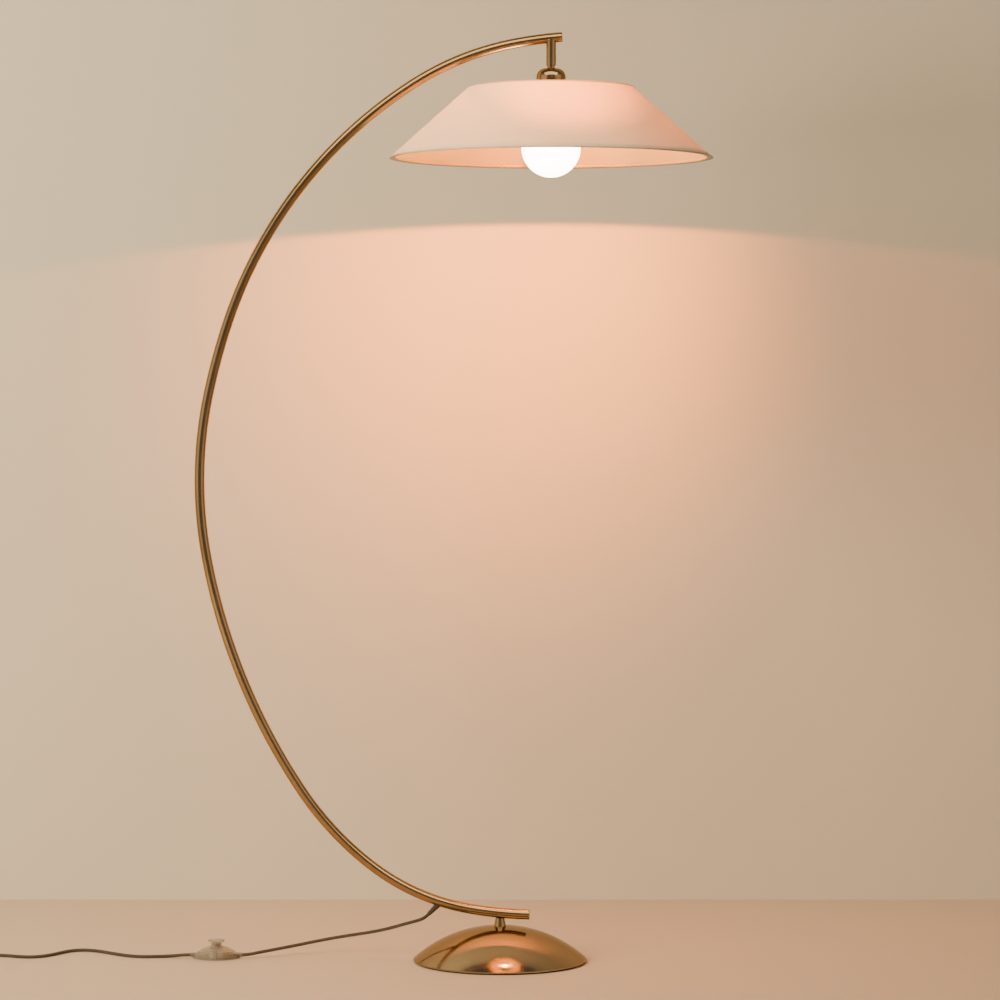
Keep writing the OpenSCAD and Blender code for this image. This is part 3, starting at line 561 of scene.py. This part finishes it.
def add_plug():
    """Flat moulded two-pin plug: a waisted body with a ribbed sleeve behind it."""
    body_l, sleeve_l = 0.034, 0.0218
    back = PLUG_FACE_Y - body_l
    body = [
        # y, half width, half height
        (PLUG_FACE_Y, 0.0112, 0.0052), (PLUG_FACE_Y - 0.0012, 0.0125, 0.0062),
        (PLUG_FACE_Y - 0.006, 0.0162, 0.0067), (PLUG_FACE_Y - 0.010, 0.0170, 0.0068),
        (PLUG_FACE_Y - 0.014, 0.0168, 0.0068), (PLUG_FACE_Y - 0.021, 0.0138, 0.0067),
        (PLUG_FACE_Y - 0.028, 0.0103, 0.0064), (back, 0.0080, 0.0060)]
    rib, groove = (0.0055, 0.0052), (0.0046, 0.0044)
    ribs, rib_pitch, first_rib = 6, 0.0034, 0.0015
    sleeve = []
    for i in range(ribs):
        y = back - first_rib - i * rib_pitch
        taper = 1 - 0.055 * i
        for step, (w, h) in ((0, rib), (0.0014, rib), (0.0018, groove), (0.0030, groove)):
            sleeve.append((y - step, w * taper, h * taper))
    sleeve.append((back - sleeve_l, 0.0034, 0.0034))
    stations = body + sleeve
    sides = 40
    verts = []
    for i, (y, w, h) in enumerate(stations):
        square = 0.55 if i < len(body) else 0.95    # 1 is an ellipse, 0 a rectangle
        for k in range(sides):
            a = TAU * k / sides
            c, s = math.cos(a), math.sin(a)
            verts.append((PLUG_X + w * math.copysign(abs(c) ** square, c), y,
                          PLUG_H / 2 + h * math.copysign(abs(s) ** square, s)))
    faces = grid_faces(len(stations), sides)
    faces.append(tuple(range(sides)))
    faces.append(tuple(reversed(range((len(stations) - 1) * sides, len(stations) * sides))))
    plug = mesh_piece("plug_moulding", verts, faces)
    merge_and_orient(plug)
    plug.data.polygons[-1].use_smooth = False
    plug.data.polygons[-2].use_smooth = False
    return give(plug, BLACK, "black_plastic", "stand", "plug_body")


# ---- Shade ------------------------------------------------------------------------------

SHADE_LOW, SHADE_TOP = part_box("shade_fabric")[0][2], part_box("shade_fabric")[1][2]
SHADE_H = SHADE_TOP - SHADE_LOW
BOTTOM_R = 0.2595
TOP_R = 0.132
SLOPE = (BOTTOM_R - TOP_R) / SHADE_H
SLANT = math.sqrt(1 + SLOPE * SLOPE)
SEAM_AT = math.radians(154)
WALL_T = 0.0018
WIRE_R = 0.002
WIRE_RISE = 0.0026
HEM_LAP = 0.0016
TAPE_T = 0.0005
SEAM_LAP = 0.010         # what the cloth's two ends overlap
SEAM_STEP = 0.0005       # height of the overlap
SEAM_RAMP = 0.02         # angle over which the cloth rises onto it
WAVINESS = 0.0003


def shade_r(z, under=0.0):
    """Radius of the shade at height z, under its outer face."""
    return TOP_R + (SHADE_TOP - z) * SLOPE - under * SLANT


def cone_sheet(name, under, lap=0.0):
    """The shade's wall as one sheet, under its outer face, whose ends overlap by lap."""
    columns, rows = 360, 30
    verts, uv = [], []
    turn = TAU if lap == 0 else TAU + lap / BOTTOM_R
    count = columns if lap == 0 else columns + 1
    for i in range(rows):
        z = SHADE_LOW + SHADE_H * i / (rows - 1)
        inside = math.sin(math.pi * i / (rows - 1))
        for j in range(count):
            share = j / columns
            a = SEAM_AT + turn * share
            r = shade_r(z, under)
            bulge = noise.noise(Vector((3.1 * math.cos(a), 3.1 * math.sin(a), 40 * z)))
            r += WAVINESS * inside * bulge
            if lap and share * turn > TAU:
                r += SEAM_STEP
            elif lap and TAU - share * turn < SEAM_RAMP:
                r += SEAM_STEP * (1 - (TAU - share * turn) / SEAM_RAMP)
            verts.append((HEAD_X + r * math.cos(a), r * math.sin(a), z))
            uv.append((turn * share * (BOTTOM_R + TOP_R) / 2, (z - SHADE_LOW) * SLANT))
    return mesh_piece(name, verts, grid_faces(rows, count, closed=lap == 0), uv=uv)


def hem_tape(name, edge, out):
    """Tape folded over an edge and round its wire. out is +1 at the top, -1 at the bottom."""
    gap, fold = 0.0001, 0.0002          # between tape and wall, and the height of its folds
    lap_z, edge_z = edge - out * HEM_LAP, edge + out * TAPE_T
    wire_z = edge - out * WIRE_RISE
    wire_x = shade_r(wire_z, WALL_T) - WIRE_R * SLANT - gap
    profile = [(shade_r(lap_z) + gap, lap_z - out * fold),
               (shade_r(lap_z, -TAPE_T), lap_z + out * fold),
               (shade_r(edge, -TAPE_T), edge - out * 0.0003),
               (shade_r(edge, -0.5 * TAPE_T), edge_z - out * fold),
               (shade_r(edge, TAPE_T), edge_z)]
    start, end = (90, 265) if out > 0 else (-90, -215)
    round_wire = arc_points((wire_x, wire_z), WIRE_R + TAPE_T, start, end, 14)
    profile += round_wire
    tuck_r, tuck_z = round_wire[-1]
    profile.append((tuck_r + 0.0008, tuck_z - out * 0.0003))
    steps = 300
    verts, uv = [], []
    length = 0.0
    last = profile[0]
    for r, z in profile:
        length += math.hypot(r - last[0], z - last[1])
        last = (r, z)
        for j in range(steps + 1):
            a = SEAM_AT + TAU * j / steps
            lift = gap * noise.noise(Vector((30 * math.cos(a), 30 * math.sin(a), 90 * z)))
            verts.append((HEAD_X + (r + lift) * math.cos(a), (r + lift) * math.sin(a), z))
            uv.append((a * BOTTOM_R, length))
    return mesh_piece(name, verts, grid_faces(len(profile), steps + 1, closed=False), uv=uv)


def add_shade():
    fabric = cone_sheet("shade_cloth", 0.0, SEAM_LAP)
    give(fabric, LINEN, "linen", "shade", "shade_fabric")
    lining = cone_sheet("shade_lining", WALL_T)
    give(lining, LINING, "lining", "shade", "shade_liner")
    for name, edge, out in (("top", SHADE_TOP, 1), ("bottom", SHADE_LOW, -1)):
        tape = hem_tape(f"shade_{name}_tape", edge, out)
        give(tape, HEM, "linen", "shade", f"shade_{name}_hem")


# ---- CAD nodes that stay ----------------------------------------------------------------

def finish_cad_nodes():
    finish_with(SPUN_BRASS, "base_cover")
    finish_with(BRASS, "base_post", "lower_tube", "middle_tube", "upper_tube",
                "lower_end_cap", "upper_end_cap", "drop_rod", "neck_collar", "holder_cup")
    finish_with(DULL_BRASS, "terminal_blocks", "core_wires", "centre_contact",
                "switch_terminals", "switch_wires", "joint_screws")
    finish_with(STEEL, "base_spacer", "base_stud", "base_washer", "base_nut",
                "lower_sleeve", "upper_sleeve", "neck_nipple", "holder_lock_nut",
                "terminal_screws", "switch_screws")
    finish_with(WIRE, "shade_top_wire", "shade_bottom_wire", "shade_spider")
    finish_with(PLATED, "screw_shell", "bulb_cap", "bulb_contact", "plug_pins")
    finish_with(IRON, "base_weight")
    finish_with(PAD, "base_pad")
    finish_with(CERAMIC, "holder_body")
    finish_with(BLACK, "holder_skirt", "shade_ring", "bulb_insulator")
    finish_with(WHITE, "bulb_light_engine", "switch_mechanism")
    finish_with(CLEAR, "switch_base", "switch_cover", "switch_button", "switch_glands")
    finish_with(CORD, "strain_relief", "inner_lead")
    finish_with(GLOBE, "bulb_globe")
    for name in ("bulb_globe", "bulb_light_engine"):
        nodes[name].visible_shadow = False
    nodes["bulb_globe"].visible_diffuse = False


# ---- Room and light ---------------------------------------------------------------------

def panel(name, corners, material):
    piece = mesh_piece(name, corners, [(0, 1, 2, 3)], smooth=False)
    piece.data.materials.append(material)
    return piece


WALL_Y = 0.69


def add_room():
    side, front, top = 6.0, -9.0, 5.0
    floor = panel("floor", [(-side, front, 0), (side, front, 0), (side, WALL_Y, 0),
                            (-side, WALL_Y, 0)],
                  painted("floor_paint", (0.79, 0.62, 0.46), (0.76, 0.59, 0.435), 0.55))
    wall = panel("wall", [(-side, WALL_Y, 0), (side, WALL_Y, 0), (side, WALL_Y, top),
                          (-side, WALL_Y, top)],
                 painted("wall_paint", (0.78, 0.665, 0.53), (0.76, 0.645, 0.51), 0.85))
    return floor, wall


def aim_at(lamp, place, target):
    lamp.location = place
    lamp.rotation_euler = (Vector(target) - Vector(place)).to_track_quat("-Z", "Y").to_euler()


def area_light(name, place, target, size, power, colour):
    data = bpy.data.lights.new(name, "AREA")
    data.shape = "RECTANGLE"
    data.size, data.size_y = size
    data.energy = power
    data.color = colour
    lamp = link(bpy.data.objects.new(name, data))
    aim_at(lamp, place, target)
    return lamp


def only_on(lamp, pieces):
    """Keeps a lamp's light off everything but these pieces."""
    group = bpy.data.collections.new(lamp.name)
    for piece in pieces:
        group.objects.link(piece)
    lamp.light_linking.receiver_collection = group


def studio_card(name, place, target, size, power, colour):
    """A large pale card that only shows as a reflection in metal, glass and plastic."""
    card = area_light(name, place, target, size, power, colour)
    card.visible_diffuse = False
    card.visible_camera = False


def spot_light(name, power, colour, lit, target=None, spread=0, place=BULB):
    """Light on some pieces from one place, which is the bulb unless another is given. With a
    target, it is a cone that spreads by so many degrees, brightest in the middle."""
    data = bpy.data.lights.new(name, "SPOT" if target else "POINT")
    data.energy = power
    data.color = colour
    data.shadow_soft_size = SOURCE_R
    lamp = link(bpy.data.objects.new(name, data))
    lamp.location = place
    if target:
        data.spot_size = math.radians(spread)
        data.spot_blend = 1.0
        aim_at(lamp, place, target)
    only_on(lamp, lit)


def add_world():
    """A faint even light, and a pale warm backdrop beyond the room that gives no light."""
    world = bpy.data.worlds.new("studio")
    world.use_nodes = True
    bpy.context.scene.world = world
    tree = world.node_tree
    sky = tree.nodes["Background"]
    sky.inputs["Color"].default_value = rgb(0.97, 1.0, 1.0)
    sky.inputs["Strength"].default_value = 0.15
    backdrop = tree.nodes.new("ShaderNodeBackground")
    backdrop.inputs["Color"].default_value = rgb(0.52, 0.43, 0.34)
    path = tree.nodes.new("ShaderNodeLightPath")
    choice = tree.nodes.new("ShaderNodeMixShader")
    tree.links.new(path.outputs["Is Camera Ray"], choice.inputs[0])
    tree.links.new(sky.outputs[0], choice.inputs[1])
    tree.links.new(backdrop.outputs[0], choice.inputs[2])
    tree.links.new(choice.outputs[0], tree.nodes["World Output"].inputs["Surface"])


def add_lights(room):
    """Window light from the left, a little on the shade from the right, the bulb's light on the
    room and on the lamp, a warm glow at the top of the shade, and cards for the brass to
    reflect."""
    lamp_parts = [piece for piece in bpy.data.objects
                  if piece.type in ("MESH", "CURVE") and piece not in room]
    cloth = [piece for piece in lamp_parts if piece.name.startswith("shade_")]

    window = ((-2.7, -2.4, 2.0), (-0.1, 0.5, 1.2), (1.4, 2.8))
    area_light("key", *window, 188, (1.0, 0.93, 0.67)).visible_glossy = False
    only_on(area_light("key_on_shade", *window, 270, (1.0, 0.64, 0.26)), cloth)
    only_on(area_light("right_on_shade", (2.6, -3.2, 1.8), (0.1, -0.1, 1.35), (1.2, 1.2), 24,
                       (0.55, 1.0, 0.92)), cloth)

    wall_spot = (HEAD_X - 0.1, WALL_Y, 1.12)
    shade_spot, lamp_before_shade = (HEAD_X + 0.025, -0.12, 1.415), (HEAD_X + 0.1, -1.3, 2.0)
    spot_light("bulb_on_room", 11, (1.0, 0.21, 0.0), room)
    spot_light("hot_spot", 84, (1.0, 0.27, 0.0), room, wall_spot, 90)
    spot_light("bulb_on_lamp", 12, (1.0, 0.28, 0.0), lamp_parts)
    spot_light("glow_on_shade", 560, (1.0, 0.20, 0.0), cloth, shade_spot, 13, lamp_before_shade)

    studio_card("card_front", (0, -7.5, 1.6), (0, 0, 1.2), (12, 4), 8, (1, 0.74, 0.48))
    studio_card("card_left", (-4.5, -2.5, 1.6), (0, 0, 1.0), (5, 4), 60, (1, 0.82, 0.58))
    studio_card("card_right", (4.5, -2.5, 1.6), (0, 0, 1.0), (5, 4), 45, (1, 0.78, 0.54))
    studio_card("card_top", (0, -2.8, 4.4), (0, 0, 1.2), (8, 3), 280, (1, 0.80, 0.46))


add_camera()
finish_cad_nodes()
add_cords()
add_shade()
add_lights(add_room())
add_world()
